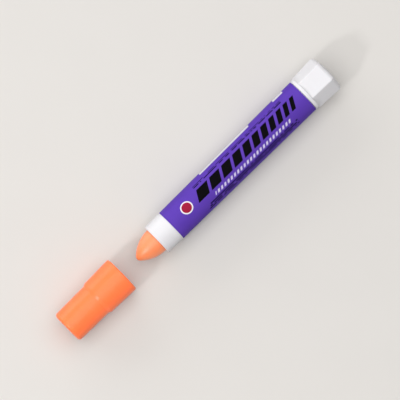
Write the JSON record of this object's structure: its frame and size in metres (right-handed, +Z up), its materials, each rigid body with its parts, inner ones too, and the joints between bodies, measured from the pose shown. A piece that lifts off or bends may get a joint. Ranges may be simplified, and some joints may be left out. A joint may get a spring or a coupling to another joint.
{
  "type": "solid paint marker",
  "caption": "Twist-up solid paint marker lying on its side with its cap pulled off: hexagonal knob, screw-fed bullet-nosed paint stick, labelled barrel and stepped cap.",
  "frame": {"origin": "on the table under the middle of the overall length, cap included, below the marker's axis", "axes": "+X along the marker from the tip to the knob, +Z up, the axis of the marker parallel to X"},
  "size_m": [0.1632, 0.0188, 0.0182],
  "materials": {
    "white_polypropylene": "satin moulded",
    "violet_label_film": "satin printed film",
    "orange_solid_paint": "waxy",
    "orange_polypropylene": "satin moulded",
    "natural_polyethylene": "moulded",
    "black_rubber": "matte"
  },
  "bodies": {
    "barrel": {"barrel": "white_polypropylene", "label": "violet_label_film", "rear_bush": "white_polypropylene", "seal_ring": "black_rubber"},
    "cap": {"cap": "orange_polypropylene", "cap_liner": "natural_polyethylene"},
    "knob": {"knob": "white_polypropylene", "feed_screw": "natural_polyethylene"},
    "paint": {"paint_stick": "orange_solid_paint", "carrier": "natural_polyethylene"}
  },
  "joints": [
    {"name": "cap_slide", "type": "slide", "parent": "barrel", "child": "cap", "axis": [1, 0, 0], "range_m": [0, 0.03025]},
    {"name": "knob_turn", "type": "hinge", "parent": "barrel", "child": "knob", "pos_m": [0.06815, 0, 0.00909], "axis": [-1, 0, 0], "range_deg": [-961, 720]},
    {"name": "paint_feed", "type": "slide", "parent": "barrel", "child": "paint", "axis": [-1, 0, 0], "range_m": [-0.0134, 0.01005]}
  ],
  "couplings": [
    {"joint": "paint_feed", "follows": "knob_turn", "m_per_rad": 0.00079577}
  ]
}
